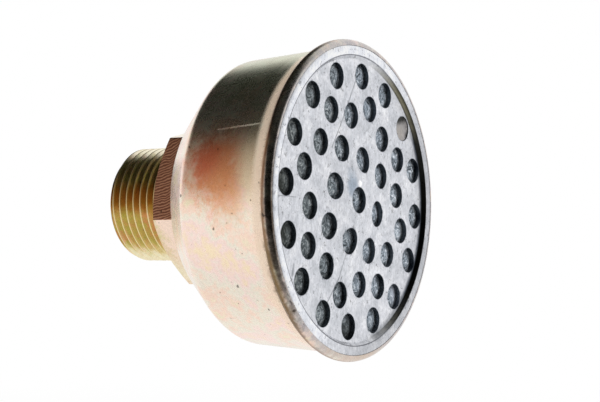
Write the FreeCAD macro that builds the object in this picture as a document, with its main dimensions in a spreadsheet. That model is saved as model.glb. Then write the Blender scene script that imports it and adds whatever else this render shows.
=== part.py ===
"""Compressor air filter: a deep-drawn steel cup on a threaded hex fitting, with a filter pad behind a
perforated plate.

Millimetres. The origin is the centre of the hexagon's thread-side face, the face that seats on the
compressor's port. +Y runs along the thread, out of its end, and +Z is up. The perforated face looks
along -Y. Depths are measured from the origin towards the perforated face, so a depth is -Y.
"""
import FreeCAD, Part
import os
import Sketcher

# Driving dimensions: name, value, what it is.
SIZES = [
    ("thread_diameter", 20.0, "major diameter of the male thread"),
    ("thread_length", 12.0, "from the hexagon's face to the end of the thread"),
    ("thread_chamfer", 0.8, "lead-in chamfer at the end of the thread"),
    ("thread_wall", 3.0, "wall of the fitting inside the thread, which leaves the air passage"),
    ("bore_chamfer", 0.5, "broken edge at both ends of the air passage"),
    ("hex_across_flats", 25.4, "spanner size of the hexagon"),
    ("hex_height", 7.05, "length of the hexagon along the thread"),
    ("hex_face_inset", 1.0, "from the flats to the circle that the corner chamfer leaves on the seat face"),
    ("hex_chamfer_angle", 30.0, "slope of the corner chamfer from the seat face, degrees"),
    ("hex_turn_angle", 42.5, "turn of a hexagon corner from the top, degrees"),
    ("neck_wall", 2.0, "wall of the neck that passes through the floor of the cup"),
    ("neck_gap", 0.05, "radial clearance of the neck in the floor of the cup"),
    ("rivet_width", 1.5, "how far the neck's end is rolled over inside the cup"),
    ("rivet_height", 1.2, "thickness of the rolled-over end"),
    ("cup_sheet", 0.9, "wall thickness of the drawn cup"),
    ("cup_depth", 25.75, "from the outside of the cup's floor to the front of its lip"),
    ("cup_diameter", 49.7, "outside of the tapered wall, carried on to the lip without its flare"),
    ("cup_draft_angle", 3.2, "taper of the wall, degrees a side"),
    ("floor_margin", 0.14, "flat floor of the cup beyond the hexagon's corners"),
    ("floor_radius", 5.0, "outside radius between floor and cone"),
    ("cone_angle", 41.1, "cone of the cup's back, degrees from the axis"),
    ("shoulder_radius", 2.2, "outside radius between cone and wall"),
    ("lip_step", 1.25, "how far the lip steps out from the wall"),
    ("flare_length", 4.0, "end of the wall that flares towards the lip"),
    ("flare_radius", 33.0, "curve of the flare"),
    ("lip_neck_radius", 0.3, "hollow where the wall turns out to the lip"),
    ("lip_front_radius", 0.98, "rounded front edge of the lip"),
    ("lip_straight", 0.04, "straight outside of the lip between its back and front rounding"),
    ("lip_roll_in", 0.12, "how far the lip leans in over the plate's edge"),
    ("lip_roll_height", 0.22, "length of the part that leans in"),
    ("seat_edge_radius", 0.3, "rounded inner edge of the plate's seat"),
    ("plate_sheet", 0.8, "thickness of the perforated plate"),
    ("plate_gap", 0.08, "radial clearance of the plate in the lip"),
    ("plate_bevel", 0.2, "bevel of the plate's edge under the lip"),
    ("pan_gap", 0.08, "radial clearance of the plate's pan inside the wall"),
    ("pan_recess", 0.7, "face of the plate behind the front of its flange"),
    ("pan_slope_width", 0.6, "width of the slope between flange and face"),
    ("dome_height", 0.8, "rise of the plate at its centre"),
    ("dome_diameter", 24.0, "foot of the rise"),
    ("hole_diameter", 4.25, "punched holes of the plate"),
    ("ring_a_inset", 2.4, "from the foot of the slope in to the outer ring of holes"),
    ("ring_b_inset", 4.55, "from the outer ring in to the second"),
    ("ring_c_inset", 2.2, "from the second ring in to the third"),
    ("ring_d_radius", 9.25, "fourth ring of holes"),
    ("ring_e_radius", 6.97, "inner ring of holes"),
    ("plate_turn_angle", 16.2, "turn of the outer ring's first hole from the top, degrees"),
    ("slug_gap", 0.06, "radial play of the slug left in one hole"),
    ("slug_recess", 0.1, "slug behind the face of the plate"),
    ("screen_sheet", 0.8, "thickness of the support screen"),
    ("screen_standoff", 3.6, "air space between the cup's floor and the screen"),
    ("screen_gap", 0.1, "radial clearance of the screen where it seats in the cone"),
    ("screen_hole_diameter", 3.6, "holes of the screen"),
    ("screen_rim", 3.5, "from the screen's edge in to its outer ring of holes"),
    ("pad_gap", 0.15, "clearance of the filter pad all round"),
]

SHEET = "Sizes"
# Rings of the plate, from outside in: label, turn in half pitches of the outer ring, holes.
RING_STEPS = (("a", 0, 16), ("b", 1, 8), ("c", -1, 8), ("d", 1, 4), ("e", -3, 4))
HALF_PITCH = f"({180 / RING_STEPS[0][2]} deg)"
SLUG_STEPS = -6
SCREEN_RINGS = (6, 12, 18)


def sized(text):
    """An expression in size names, with each name read from the sheet."""
    for name, _, _ in sorted(SIZES, key=lambda row: -len(row[0])):
        text = text.replace("<" + name + ">", f"{SHEET}.{name}")
    return "(" + text + ")"


# Radii and depths that several pieces share.
THREAD_R = sized("<thread_diameter> / 2")
BORE_R = f"({THREAD_R} - {SHEET}.thread_wall)"
NECK_R = f"({BORE_R} + {SHEET}.neck_wall)"
RIVET_R = f"({NECK_R} + {SHEET}.rivet_width)"
FLOOR_HOLE_R = f"({NECK_R} + {SHEET}.neck_gap)"
HEX_CORNER_R = sized("<hex_across_flats> / 2 / cos(30 deg)")
HEX_FACE_R = sized("<hex_across_flats> / 2 - <hex_face_inset>")
FLOOR_OUT = sized("<hex_height>")
FLOOR_IN = sized("<hex_height> + <cup_sheet>")
RIVET_TOP = sized("<hex_height> + <cup_sheet> + <rivet_height>")
FRONT = sized("<hex_height> + <cup_depth>")
SEAT = sized("<hex_height> + <cup_depth> - <plate_sheet>")
STEP_BACK = sized("<hex_height> + <cup_depth> - <plate_sheet> - <cup_sheet>")
WALL_FRONT = f"({STEP_BACK} - {SHEET}.lip_neck_radius)"
LIP_BACK = sized("<plate_sheet> + <cup_sheet> - <lip_front_radius> - <lip_straight>")
WALL_R = sized("<cup_diameter> / 2")
LIP_R = f"({WALL_R} + {SHEET}.lip_step)"
SOCKET_R = f"({LIP_R} - {SHEET}.cup_sheet)"
CONE = f"({SHEET}.cone_angle * 1 deg)"
DRAFT = f"({SHEET}.cup_draft_angle * 1 deg)"
SEAT_R = f"({WALL_R} - {SHEET}.cup_sheet / cos{DRAFT})"
# The wall's last stretch curves outwards to the hollow behind the lip.
FLARE_DEPTH = f"({WALL_FRONT} - {SHEET}.flare_length)"
FLARE_R = f"({WALL_R} - {SHEET}.flare_length * tan{DRAFT})"
FLARE_TURN = f"asin(sin{DRAFT} + {SHEET}.flare_length / {SHEET}.flare_radius)"
NECK_HOLLOW_R = f"({FLARE_R} + {SHEET}.flare_radius * (cos{DRAFT} - cos({FLARE_TURN})))"
# The floor's rounding, with its centre and its end on the cone.
BEND_R = f"({HEX_CORNER_R} + {SHEET}.floor_margin)"
BEND_DEPTH = sized("<hex_height> + <floor_radius>")
CONE_R = f"({BEND_R} + {SHEET}.floor_radius * cos{CONE})"
CONE_DEPTH = f"({BEND_DEPTH} - {SHEET}.floor_radius * sin{CONE})"
# Where the cone's line meets the wall's, and the centre of the shoulder's rounding between them.
MEET_DEPTH = (f"(({WALL_R} - {WALL_FRONT} * tan{DRAFT} - {CONE_R} + {CONE_DEPTH} * tan{CONE})"
              f" / (tan{CONE} - tan{DRAFT}))")
MEET_R = f"({CONE_R} + ({MEET_DEPTH} - {CONE_DEPTH}) * tan{CONE})"
SET_BACK = f"({SHEET}.shoulder_radius * tan(({CONE} - {DRAFT}) / 2))"
SHOULDER_R = f"({MEET_R} - {SET_BACK} * sin{CONE} - {SHEET}.shoulder_radius * cos{CONE})"
SHOULDER_DEPTH = f"({MEET_DEPTH} - {SET_BACK} * cos{CONE} + {SHEET}.shoulder_radius * sin{CONE})"
# The plate's flange ends where its pan has to pass inside the wall.
PLATE_R = f"({SOCKET_R} - {SHEET}.plate_gap)"
BEND_SHIFT = f"({SHEET}.plate_sheet * tan(atan({SHEET}.pan_recess / {SHEET}.pan_slope_width) / 2))"
FLANGE_IN_R = f"({SEAT_R} - {SHEET}.pan_gap - {BEND_SHIFT})"
PAN_R = f"({FLANGE_IN_R} - {SHEET}.pan_slope_width)"
FACE = f"({FRONT} - {SHEET}.pan_recess)"
FACE_BACK = f"({FACE} - {SHEET}.plate_sheet)"
DOME_R = sized("<dome_diameter> / 2")
RING_A_R = f"({PAN_R} - {SHEET}.ring_a_inset)"
RING_B_R = f"({RING_A_R} - {SHEET}.ring_b_inset)"
RING_R = {"a": RING_A_R, "b": RING_B_R, "c": f"({RING_B_R} - {SHEET}.ring_c_inset)",
          "d": f"{SHEET}.ring_d_radius", "e": f"{SHEET}.ring_e_radius"}
SCREEN_BACK = sized("<hex_height> + <cup_sheet> + <screen_standoff>")
SCREEN_FRONT = sized("<hex_height> + <cup_sheet> + <screen_standoff> + <screen_sheet>")
XY_PLANE, XZ_PLANE = "XY_Plane", "XZ_Plane"


def write_sheet(doc):
    """The spreadsheet of driving dimensions: name, value and meaning in three columns."""
    sheet = doc.addObject("Spreadsheet::Sheet", SHEET)
    for row, (name, value, meaning) in enumerate(SIZES, start=1):
        sheet.set(f"A{row}", name)
        sheet.set(f"B{row}", str(value))
        sheet.set(f"C{row}", meaning)
        sheet.setAlias(f"B{row}", name)
    doc.recompute()
    return sheet


def new_body(doc, label):
    body = doc.addObject("PartDesign::Body", label)
    body.Label = label
    return body


def origin_feature(body, role):
    return next(item for item in body.Origin.OriginFeatures if item.Role == role)


def new_sketch(body, name, plane):
    """An empty sketch on one of the body's own origin planes."""
    sketch = body.newObject("Sketcher::SketchObject", name)
    sketch.AttachmentSupport = [(origin_feature(body, plane), "")]
    sketch.MapMode = "FlatFace"
    return sketch


def number(sketch, expression):
    return float(sketch.evalExpression(expression))


def pin_point(sketch, geometry, end, across, along):
    """Dimension a sketch point from the origin: two expressions, or 0 for a point on an axis."""
    origin = (-1, 1)
    for kind, own_axis, expression in (("DistanceX", -2, across), ("DistanceY", -1, along)):
        if expression == "0":
            sketch.addConstraint(Sketcher.Constraint("PointOnObject", geometry, end, own_axis))
            continue
        value = number(sketch, expression)
        first, last = (origin, (geometry, end)) if value > 0 else ((geometry, end), origin)
        index = sketch.addConstraint(Sketcher.Constraint(kind, *first, *last, abs(value)))
        sketch.setExpression(f"Constraints[{index}]", expression if value > 0 else f"-({expression})")


def arc_centre(start, end, radius, turn):
    """Centre of the arc of this radius from start to end: turn 1 runs anticlockwise, -1 clockwise."""
    chord = end - start
    rise = max(radius ** 2 - (chord.Length / 2) ** 2, 0) ** 0.5
    across = FreeCAD.Vector(-chord.y, chord.x, 0).normalize()
    return (start + end) * 0.5 + across * (rise * turn)


def outline(sketch, points):
    """A closed outline of straight lines and arcs, every corner dimensioned from the origin.

    Each point is (across, along) or (across, along, radius, turn), where the last two say that the
    stretch which leaves the point is an arc of that radius.
    """
    places = [FreeCAD.Vector(number(sketch, p[0]), number(sketch, p[1]), 0) for p in points]
    ends = []
    for index, point in enumerate(points):
        start, end = places[index], places[(index + 1) % len(places)]
        if len(point) == 2:
            geometry = sketch.addGeometry(Part.LineSegment(start, end), False)
            ends.append((geometry, 1, 2))
            continue
        radius, turn = number(sketch, point[2]), point[3]
        centre = arc_centre(start, end, radius, turn)
        first, last = (start, end) if turn > 0 else (end, start)
        circle = Part.Circle(centre, FreeCAD.Vector(0, 0, 1), radius)
        arc = Part.ArcOfCircle(circle, circle.parameter(first), circle.parameter(last))
        geometry = sketch.addGeometry(arc, False)
        ends.append((geometry, 1, 2) if turn > 0 else (geometry, 2, 1))
        size = sketch.addConstraint(Sketcher.Constraint("Radius", geometry, radius))
        sketch.setExpression(f"Constraints[{size}]", point[2])
    for index, (geometry, start, end) in enumerate(ends):
        following, next_start, _ = ends[(index + 1) % len(ends)]
        sketch.addConstraint(Sketcher.Constraint("Coincident", geometry, end, following, next_start))
    for (geometry, start, _), point in zip(ends, points):
        pin_point(sketch, geometry, start, point[0], point[1])


def circle_at(sketch, radius, across, along):
    """A circle in a sketch, its centre dimensioned from the origin."""
    centre = FreeCAD.Vector(number(sketch, across), number(sketch, along), 0)
    circle = Part.Circle(centre, FreeCAD.Vector(0, 0, 1), number(sketch, radius))
    geometry = sketch.addGeometry(circle, False)
    size = sketch.addConstraint(Sketcher.Constraint("Radius", geometry, circle.Radius))
    sketch.setExpression(f"Constraints[{size}]", radius)
    pin_point(sketch, geometry, 3, across, along)


def revolve(body, kind, name, sketch):
    """Turn a sketch about the thread axis, as added or removed material."""
    feature = body.newObject(kind, name)
    feature.Profile = sketch
    feature.ReferenceAxis = (sketch, ["V_Axis"])
    feature.Angle = 360
    return feature


def at_depth(depth):
    return f"-({depth})"


def turned(body, label, kind, points):
    """A feature turned from an outline of (radius, depth) points."""
    sketch = new_sketch(body, label + "_outline", XY_PLANE)
    flipped = [(p[0], "0" if p[1] == "0" else at_depth(p[1]), *p[2:]) for p in points]
    outline(sketch, flipped)
    return revolve(body, kind, label, sketch)


def bend_point(radius, slope):
    """A point on the floor's rounding, at this radius from its centre, where its normal leans by slope."""
    return f"({BEND_R} + {radius} * cos{slope})", f"({BEND_DEPTH} - {radius} * sin{slope})"


def shoulder_point(radius, slope):
    """The same on the shoulder's rounding."""
    return f"({SHOULDER_R} + {radius} * cos{slope})", f"({SHOULDER_DEPTH} - {radius} * sin{slope})"


def inner_radius(depth, inset):
    """Radius at a depth, inside the cup's outer face by inset, where cone or wall is the narrower."""
    across, along = bend_point(f"({SHEET}.floor_radius - {inset})", CONE)
    wall_across, wall_along = shoulder_point(f"({SHEET}.shoulder_radius - {inset})", DRAFT)
    return (f"min({across} + ({depth} - {along}) * tan{CONE};"
            f" {wall_across} + ({depth} - {wall_along}) * tan{DRAFT})")


def must_remove(body, feature, before):
    """A cut that leaves the volume as it was missed the solid."""
    body.Document.recompute()
    if not feature.Shape.Volume < before - 1e-6:
        raise RuntimeError(f"{feature.Label} removed nothing")


def ring_point(radius, turn):
    """A point on a ring, turned from the top towards -X: 0 is the top itself."""
    if turn == "0":
        return "0", radius
    return f"(-{radius} * sin{turn})", f"({radius} * cos{turn})"


def punched_ring(body, label, radius, turn, diameter, count):
    """Holes on a ring: one punched through along the axis, then patterned round it."""
    sketch = new_sketch(body, label + "_circle", XZ_PLANE)
    circle_at(sketch, f"({diameter} / 2)", *ring_point(radius, turn))
    body.Document.recompute()
    before = body.Shape.Volume
    hole = body.newObject("PartDesign::Pocket", label)
    hole.Profile = sketch
    hole.Type = "ThroughAll"
    hole.Reversed = True
    must_remove(body, hole, before)
    ring = body.newObject("PartDesign::PolarPattern", label + "_ring")
    ring.Originals = [hole]
    ring.Axis = (origin_feature(body, "Y_Axis"), [""])
    ring.Angle = 360
    ring.Occurrences = count
    body.Tip = ring
    must_remove(body, ring, before)


def centre_hole(body, label, diameter):
    """The punched hole on the axis."""
    sketch = new_sketch(body, label + "_circle", XZ_PLANE)
    circle_at(sketch, f"({diameter} / 2)", "0", "0")
    before = body.Shape.Volume
    hole = body.newObject("PartDesign::Pocket", label)
    hole.Profile = sketch
    hole.Type = "ThroughAll"
    hole.Reversed = True
    must_remove(body, hole, before)


def clocked(body, angle):
    """Turn a finished piece about the thread axis: positive leans its top towards -X."""
    body.Placement = FreeCAD.Placement(FreeCAD.Vector(0, 0, 0), FreeCAD.Rotation(FreeCAD.Vector(0, -1, 0), 1))
    body.setExpression("Placement.Rotation.Angle", angle)


def threaded_fitting(doc):
    """Turned from hexagon bar: thread, hexagon, neck rolled over inside the cup, and air passage."""
    body = new_body(doc, "threaded_fitting")
    hexagon = new_sketch(body, "hexagon", XZ_PLANE)
    corners = []
    for step in range(6):
        turn = f"({60 * step} deg)"
        across = "0" if step % 3 == 0 else f"({HEX_CORNER_R} * sin{turn})"
        corners.append((across, f"({HEX_CORNER_R} * cos{turn})"))
    outline(hexagon, corners)
    bar = body.newObject("PartDesign::Pad", "hexagon_bar")
    bar.Profile = hexagon
    bar.setExpression("Length", f"{SHEET}.hex_height")

    chamfer = f"{SHEET}.thread_chamfer"
    tip = f"(-{SHEET}.thread_length)"
    turned(body, "turned_ends", "PartDesign::Revolution", [
        ("0", tip),
        (f"({THREAD_R} - {chamfer})", tip),
        (THREAD_R, f"({tip} + {chamfer})"),
        (THREAD_R, "0"),
        (NECK_R, "0"),
        (NECK_R, FLOOR_IN),
        (RIVET_R, FLOOR_IN),
        (RIVET_R, f"({RIVET_TOP} - {SHEET}.rivet_height / 2)"),
        (f"({RIVET_R} - {SHEET}.rivet_height / 2)", RIVET_TOP),
        ("0", RIVET_TOP)])
    doc.recompute()

    before = body.Shape.Volume
    beyond = f"({HEX_CORNER_R} * 1.2)"
    slope = f"tan({SHEET}.hex_chamfer_angle * 1 deg)"
    chamfers = turned(body, "corner_chamfer", "PartDesign::Groove", [
        (HEX_FACE_R, "0"),
        (beyond, "0"),
        (beyond, f"(({beyond} - {HEX_FACE_R}) * {slope})")])
    must_remove(body, chamfers, before)

    before = body.Shape.Volume
    edge = f"{SHEET}.bore_chamfer"
    passage = turned(body, "air_passage", "PartDesign::Groove", [
        ("0", tip),
        (f"({BORE_R} + {edge})", tip),
        (BORE_R, f"({tip} + {edge})"),
        (BORE_R, f"({RIVET_TOP} - {edge})"),
        (f"({BORE_R} + {edge})", RIVET_TOP),
        ("0", RIVET_TOP)])
    must_remove(body, passage, before)
    clocked(body, f"{SHEET}.hex_turn_angle")
    return body


def filter_cup(doc):
    """Deep-drawn cup: holed floor, cone, drafted wall and a stepped-out lip with the plate's seat."""
    body = new_body(doc, "filter_cup")
    sheet = f"{SHEET}.cup_sheet"
    floor_out, shoulder_out = f"{SHEET}.floor_radius", f"{SHEET}.shoulder_radius"
    floor_in, shoulder_in = f"({floor_out} - {sheet})", f"({shoulder_out} - {sheet})"
    neck, back, front = f"{SHEET}.lip_neck_radius", LIP_BACK, f"{SHEET}.lip_front_radius"
    edge = f"{SHEET}.seat_edge_radius"
    turned(body, "drawn_shell", "PartDesign::Revolution", [
        (FLOOR_HOLE_R, FLOOR_OUT),
        (BEND_R, FLOOR_OUT, floor_out, -1),
        bend_point(floor_out, CONE),
        (*shoulder_point(shoulder_out, CONE), shoulder_out, -1),
        shoulder_point(shoulder_out, DRAFT),
        (FLARE_R, FLARE_DEPTH, f"{SHEET}.flare_radius", 1),
        (NECK_HOLLOW_R, WALL_FRONT, neck, 1),
        (f"({NECK_HOLLOW_R} + {neck})", STEP_BACK),
        (f"({LIP_R} - {back})", STEP_BACK, back, -1),
        (LIP_R, f"({STEP_BACK} + {back})"),
        (LIP_R, f"({FRONT} - {front})", front, -1),
        (f"({LIP_R} - {front})", FRONT),
        (f"({SOCKET_R} - {SHEET}.lip_roll_in)", FRONT),
        (SOCKET_R, f"({FRONT} - {SHEET}.lip_roll_height)"),
        (SOCKET_R, SEAT),
        (f"({SEAT_R} + {edge})", SEAT, edge, 1),
        (SEAT_R, f"({SEAT} - {edge})"),
        (*shoulder_point(shoulder_in, DRAFT), shoulder_in, 1),
        shoulder_point(shoulder_in, CONE),
        (*bend_point(floor_in, CONE), floor_in, 1),
        (BEND_R, FLOOR_IN),
        (FLOOR_HOLE_R, FLOOR_IN)])
    return body


def perforated_plate(doc):
    """Pressed pan: bevelled flange on the cup's seat, sunk face with a low dome and punched holes."""
    body = new_body(doc, "perforated_plate")
    sheet = f"{SHEET}.plate_sheet"
    bevel = f"{SHEET}.plate_bevel"
    rise = f"{SHEET}.dome_height"
    half_r = f"({DOME_R} / 2)"
    curve = f"(({DOME_R}^2 / 4 + {rise}^2 / 4) / {rise})"
    turned(body, "pressed_pan", "PartDesign::Revolution", [
        ("0", f"({FACE} + {rise})", curve, 1),
        (half_r, f"({FACE} + {rise} / 2)", curve, -1),
        (DOME_R, FACE),
        (PAN_R, FACE),
        (FLANGE_IN_R, FRONT),
        (f"({PLATE_R} - {bevel})", FRONT),
        (PLATE_R, f"({FRONT} - {bevel})"),
        (PLATE_R, SEAT),
        (f"({FLANGE_IN_R} + {BEND_SHIFT})", SEAT),
        (f"({PAN_R} + {BEND_SHIFT})", FACE_BACK),
        (DOME_R, FACE_BACK, curve, 1),
        (half_r, f"({FACE_BACK} + {rise} / 2)", curve, -1),
        ("0", f"({FACE_BACK} + {rise})")])
    doc.recompute()
    for label, steps, count in RING_STEPS:
        turn = "0" if steps == 0 else f"({steps} * {HALF_PITCH})"
        punched_ring(body, "hole_" + label, RING_R[label], turn, f"{SHEET}.hole_diameter", count)
    centre_hole(body, "hole_centre", f"{SHEET}.hole_diameter")
    clocked(body, f"{SHEET}.plate_turn_angle")
    return body


def punch_slug(doc):
    """The slug that the punch left in one hole of the outer ring."""
    body = new_body(doc, "punch_slug")
    sketch = new_sketch(body, "slug_circle", XZ_PLANE)
    radius = sized("<hole_diameter> / 2 - <slug_gap>")
    circle_at(sketch, radius, *ring_point(RING_A_R, f"({SLUG_STEPS} * {HALF_PITCH})"))
    sketch.setExpression("AttachmentOffset.Base.z", f"{FACE_BACK} - {SHEET}.slug_recess")
    slug = body.newObject("PartDesign::Pad", "slug")
    slug.Profile = sketch
    slug.setExpression("Length", f"{SHEET}.plate_sheet")
    clocked(body, f"{SHEET}.plate_turn_angle")
    return body


def support_screen(doc):
    """Perforated disc that rests in the cup's cone and keeps the pad off the air passage."""
    body = new_body(doc, "support_screen")
    edge_r = f"({inner_radius(SCREEN_BACK, SHEET + '.cup_sheet')} - {SHEET}.screen_gap)"
    turned(body, "disc", "PartDesign::Revolution", [
        ("0", SCREEN_BACK),
        (edge_r, SCREEN_BACK),
        (edge_r, SCREEN_FRONT),
        ("0", SCREEN_FRONT)])
    doc.recompute()
    for ring, count in enumerate(SCREEN_RINGS, start=1):
        radius = f"(({edge_r} - {SHEET}.screen_rim) * {ring} / {len(SCREEN_RINGS)})"
        punched_ring(body, f"vent_{ring}", radius, "0", f"{SHEET}.screen_hole_diameter", count)
    centre_hole(body, "vent_centre", f"{SHEET}.screen_hole_diameter")
    return body


def filter_pad(doc):
    """Felt pad that fills the cup between the support screen and the perforated plate."""
    body = new_body(doc, "filter_pad")
    gap = f"{SHEET}.pad_gap"
    inset = f"({SHEET}.cup_sheet + {gap})"
    bend, curve = f"({SHEET}.floor_radius - {inset})", f"({SHEET}.shoulder_radius - {inset})"
    floor = f"({FLOOR_IN} + {gap})"
    front = f"({FACE_BACK} - {gap})"
    turned(body, "cup_filling", "PartDesign::Revolution", [
        ("0", floor),
        (BEND_R, floor, bend, -1),
        bend_point(bend, CONE),
        (*shoulder_point(curve, CONE), curve, -1),
        shoulder_point(curve, DRAFT),
        (inner_radius(front, inset), front),
        ("0", front)])
    doc.recompute()
    before = body.Shape.Volume
    back = f"({SCREEN_FRONT} + {gap})"
    air_space = turned(body, "air_space", "PartDesign::Groove", [
        ("0", f"({floor} - {gap})"),
        (LIP_R, f"({floor} - {gap})"),
        (LIP_R, back),
        ("0", back)])
    must_remove(body, air_space, before)
    return body


def check(doc, pieces):
    """Stop before anything is written if a feature failed or a piece isn't a sound solid."""
    for item in doc.Objects:
        if "Invalid" in item.State or "Error" in item.State:
            raise RuntimeError(f"{item.Label} failed: {item.State}")
    for piece in pieces:
        shape = piece.Shape
        if shape.isNull() or not shape.isValid() or len(shape.Solids) != 1:
            raise RuntimeError(f"{piece.Label} isn't one sound solid")


def build():
    doc = FreeCAD.newDocument("compressor_air_filter")
    write_sheet(doc)
    makers = (threaded_fitting, filter_cup, support_screen, filter_pad, perforated_plate, punch_slug)
    pieces = [maker(doc) for maker in makers]
    doc.recompute()
    check(doc, pieces)
    os.makedirs("parts", exist_ok=True)
    for piece in pieces:
        piece.Shape.exportStep(f"parts/{piece.Label}.step")
        print(piece.Label, round(piece.Shape.Volume, 2), "mm3", piece.Shape.BoundBox)


build()
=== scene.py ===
import math

import bmesh
import bpy
from bpy.props import FloatProperty, FloatVectorProperty, IntProperty, PointerProperty
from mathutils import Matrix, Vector, noise
from mathutils.geometry import delaunay_2d_cdt


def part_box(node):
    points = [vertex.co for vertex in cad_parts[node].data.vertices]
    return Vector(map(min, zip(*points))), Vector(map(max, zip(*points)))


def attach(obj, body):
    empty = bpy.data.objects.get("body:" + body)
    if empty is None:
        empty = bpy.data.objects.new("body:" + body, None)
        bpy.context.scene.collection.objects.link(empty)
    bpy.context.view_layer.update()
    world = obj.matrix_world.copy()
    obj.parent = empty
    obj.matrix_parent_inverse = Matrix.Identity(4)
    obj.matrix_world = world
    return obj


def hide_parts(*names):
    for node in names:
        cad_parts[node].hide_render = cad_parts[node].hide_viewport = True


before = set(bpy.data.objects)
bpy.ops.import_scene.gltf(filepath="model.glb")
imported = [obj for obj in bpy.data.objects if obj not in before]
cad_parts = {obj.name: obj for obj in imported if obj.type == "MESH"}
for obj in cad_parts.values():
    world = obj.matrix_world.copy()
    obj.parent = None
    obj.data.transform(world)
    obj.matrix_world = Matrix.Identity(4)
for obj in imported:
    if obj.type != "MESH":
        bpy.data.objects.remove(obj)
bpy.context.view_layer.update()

bl_info = {
    "name": "Compressor air filter",
    "version": (1, 0, 0),
    "blender": (4, 5, 0),
    "location": "3D View > Sidebar > Air filter",
    "description": "Builds the visible pieces of a screw-in compressor air filter and their materials",
    "category": "Object",
}

MM = 0.001
RIGHT_ANGLE = math.radians(90)
WHITE = "#FFFFFF"

# Sizes in millimetres and turns in degrees, as in the part's own table. A depth counts from the hexagon's
# thread-side face towards the plate.
FRONT = 32.8
PLATE_SHEET = 0.8
FACE = 32.1
FLANGE_IN_R = 23.5
PAN_R = 22.9
PLATE_R = 25.12
PLATE_BEVEL = 0.2
DOME_R = 12.0
DOME_HEIGHT = 0.8
HOLE_R = 2.125
PLATE_TURN = 16.2
HALF_PITCH = 11.25
# Rings of holes, from outside in: radius, turn in half pitches, holes.
HOLE_RINGS = ((20.5, 0, 16), (15.95, 1, 8), (13.75, -1, 8), (9.25, 1, 4), (6.97, -3, 4))
THREAD_R = 10.0
THREAD_LENGTH = 12.0
THREAD_CHAMFER = 0.8
BORE_R = 7.0
BORE_CHAMFER = 0.5
HEX_FLAT = 12.7
HEX_HEIGHT = 7.05
HEX_FACE_R = 11.7
HEX_TURN = 42.5
HEX_CHAMFER = 30
NECK_R = 9.0
RIVET_R = 10.5
FLOOR_SHEET = 0.9
RIVET_HEIGHT = 1.2

# What the part's table doesn't hold: the hexagon's broken edges, the sides of circles, the punch, the pip on
# the dome by its place and spread, and the meshes' triangular grids, whose rows are a little closer than the
# points in them.
HEX_EDGE_R = 0.25
HEX_EDGE_BREAK = 0.15
PLATE_SIDES = 192
PUNCH_SIDES = 64
PUNCH_STROKE = 4.0
PIP = (0.35, 2.72)
PIP_SPREAD = 0.38
PLATE_GRID = 0.8
PIP_GRID = 0.12
FELT_GRID = 0.9
GRID_STEPS = 30
PIP_STEPS = 10
ROW_SHARE = 0.866
FELT_CIRCLES = 10
FELT_CIRCLE_STEP = 0.24
FELT_POINT_STEP = 0.26
# Two points closer than this are one: in metres for a mesh, in millimetres for a triangulation.
SAME_PLACE = 1e-7
SAME_POINT = 1e-5

# Colours of the chromate film, from one end of its drift to the other.
FITTING_FILM = ("#DFCB8E", "#E2C698", "#D5CE8C", "#E6BE98", "#D0CC8A")
CUP_FILM = ("#FFE9C8", "#FFE3DA", "#F4EEDC", "#FFE0CE", "#F5EFCE")
# The hexagon's milled flat: the way it faces, the centre of the cutter's sweeps, and its browns, a painted
# reflection that the sweeps lie in.
MILLED_FLAT = ((-0.954, 0.0, 0.3), (-12.0, 2.5, 20.0), ("#9C6A54", "#CA9278", "#FFD0B4"))
# Depth of the scuffed band round the cup's flare.
SCUFFED = 29.9
# Lines as two ends and a width: each a scratch, save the plate's last two, a millimetre wide along the
# pan's corner at the lower right, which are painted shade. Those on the plate leave the depth out.
PLATE_MARKS = (((0.3, 0, 19.7), (-3.5, 0, 13.5), 0.22), ((-3.5, 0, 13.5), (-7.2, 0, 8.2), 0.2),
               ((-3.2, 0, -9.0), (-5.0, 0, -12.4), 0.15), ((-5.0, 0, -12.4), (-8.6, 0, -16.2), 0.18),
               ((-18.2, 0, -10.2), (-18.6, 0, -11.8), 0.35), ((-22.5, 0, 0.1), (-17.6, 0, 0.0), 0.1),
               ((5.5, 0, -22.4), (10.0, 0, -20.7), 1.0), ((10.0, 0, -20.7), (15.8, 0, -16.8), 1.0))
CUP_MARKS = (((-21.76, -20.5, 10.4), (-22.1, -28.9, 11.0), 0.2),)
# Patches of stain and of painted light, as a centre, a reach along each axis, a colour and a strength.
# Painted shade: a bluish patch on the left of the dome's pip.
PLATE_DOME_SHADE = (((-1.9, -32.9, 2.4), (2.2, 9.0, 3.0), "#94A4B6", 0.7),)
SLUG_GRIME_AND_SHADE = (((16.0, -32.0, 12.8), (30, 30, 30), "#8A837E", 0.75),
               # Painted shade along the slug's top and right edges.
               ((15.4, -32.0, 14.7), (2.8, 9.0, 1.5), "#2E2E2C", 1.0),
               ((17.9, -32.0, 11.4), (1.3, 9.0, 2.4), "#2A2A2C", 1.0),
               ((15.2, -32.0, 12.0), (2.2, 9.0, 1.6), "#B4AEA8", 0.7))
# Painted shade in the outer holes at the left and at the bottom.
FELT_TONE_AND_SHADE = (((-22.5, -31.5, -2.5), (5.0, 9.0, 11.0), "#34382F", 1.0),
               ((-3.0, -31.5, -23.0), (13.0, 9.0, 6.0), "#2E3230", 0.85),
               ((14.5, -31.5, -15.0), (2.5, 8.0, 3.0), "#B4BAC6", 0.8))
FITTING_TONE_AND_REFLECTIONS = (((0, -4.5, 0), (60, 5.0, 60), "#FADFCC", 1.0),
                  # Painted reflection: brown along the left of the thread.
                  ((-10.0, 6.0, 1.0), (5.0, 30.0, 3.6), "#B48848", 0.85),
                  # Painted reflections: pale along the top and the bottom of the thread.
                  ((-3.0, 6.0, 11.0), (9.0, 30.0, 4.5), "#FFF8E2", 0.9),
                  ((-3.0, 6.0, -11.0), (9.0, 30.0, 4.5), "#F4EACA", 0.85))
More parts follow.
